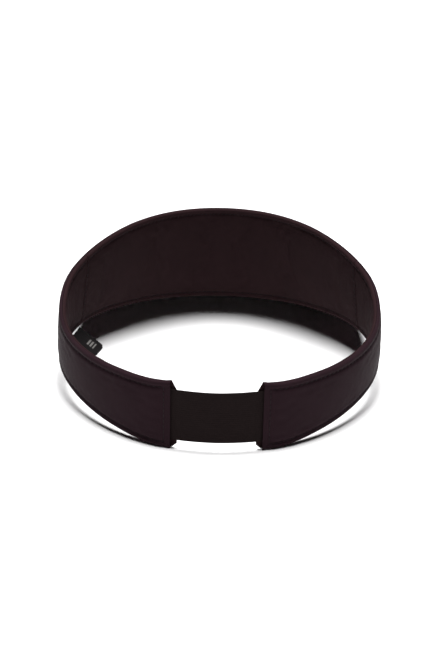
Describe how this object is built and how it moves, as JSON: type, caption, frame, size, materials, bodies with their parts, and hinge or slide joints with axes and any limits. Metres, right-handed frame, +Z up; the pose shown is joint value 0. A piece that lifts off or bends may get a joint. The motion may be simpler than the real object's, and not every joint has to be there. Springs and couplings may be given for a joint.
{
  "type": "sun visor",
  "caption": "Soft sun visor with a padded forehead panel, a curved brim, padded arms and an elastic strap at the back, standing on its brim and rear hems.",
  "frame": {"origin": "on the table, under the middle of the visor's bounding box", "axes": "+Z up, +Y to the back of the head, -Y where the brim points, +X to the wearer's left"},
  "size_m": [0.1728, 0.2404, 0.0701],
  "materials": {
    "band_cloth": "smooth satin-faced polyester, near black with a purple-brown cast",
    "lining_cloth": "smooth matt-satin polyester lining",
    "elastic_weave": "matt woven elastic",
    "brim_cloth": "satin-faced polyester, stretched over a board",
    "stiffener_web": "white fused buckram",
    "foam": "open-cell foam sheet",
    "board_plastic": "moulded polyethylene sheet",
    "thread": "polyester sewing thread",
    "label_tape": "woven ribbon tape"
  },
  "bodies": {
    "front": {"front_shell": "band_cloth", "front_stiffener": "stiffener_web", "front_foam": "foam", "front_lining": "lining_cloth", "front_top_stitch": "thread", "front_lower_stitch": "thread", "left_temple_stitch": "thread", "right_temple_stitch": "thread", "brim_board": "board_plastic", "brim_top_cloth": "brim_cloth", "brim_under_cloth": "brim_cloth", "brim_stitch_1": "thread", "brim_stitch_2": "thread", "brim_stitch_3": "thread", "brim_stitch_4": "thread"},
    "left_arm": {"left_arm_shell": "band_cloth", "left_arm_foam": "foam", "left_arm_lining": "lining_cloth", "left_arm_stitch": "thread"},
    "right_arm": {"right_arm_shell": "band_cloth", "right_arm_foam": "foam", "right_arm_lining": "lining_cloth", "right_arm_stitch": "thread"},
    "strap_left": {"elastic_left_half": "elastic_weave"},
    "strap_right": {"elastic_right_half": "elastic_weave"},
    "label": {"side_label": "label_tape"}
  },
  "joints": [
    {"name": "left_arm_flex", "type": "hinge", "parent": "front", "child": "left_arm", "pos_m": [0.07949, 0.00436, 0.03658], "axis": [0, 0, -1], "range_deg": [0, 9], "stiffness_Nm_per_rad": 3.9},
    {"name": "right_arm_flex", "type": "hinge", "parent": "front", "child": "right_arm", "pos_m": [-0.07949, 0.00436, 0.03658], "axis": [0, 0, 1], "range_deg": [0, 9], "stiffness_Nm_per_rad": 3.9},
    {"name": "strap_turn", "type": "hinge", "parent": "left_arm", "child": "strap_left", "pos_m": [0.02303, 0.11657, 0.01935], "axis": [0, 0, 1], "range_deg": [0, 9]},
    {"name": "strap_stretch", "type": "slide", "parent": "strap_left", "child": "strap_right", "axis": [-1, 0, 0], "range_m": [0, 0.0366], "deforming": ["elastic_left_half", "elastic_right_half"]},
    {"name": "label_flex", "type": "hinge", "parent": "left_arm", "child": "label", "pos_m": [0.07873, 0.01601, 0.01692], "axis": [-0.2756, -0.9613, 0], "range_deg": [-110, 40], "stiffness_Nm_per_rad": 0.0005}
  ],
  "couplings": [
    {"joint": "right_arm_flex", "follows": "left_arm_flex", "ratio": 1},
    {"joint": "strap_turn", "follows": "left_arm_flex", "ratio": 1},
    {"joint": "strap_stretch", "follows": "left_arm_flex", "m_per_rad": 0.2315}
  ]
}
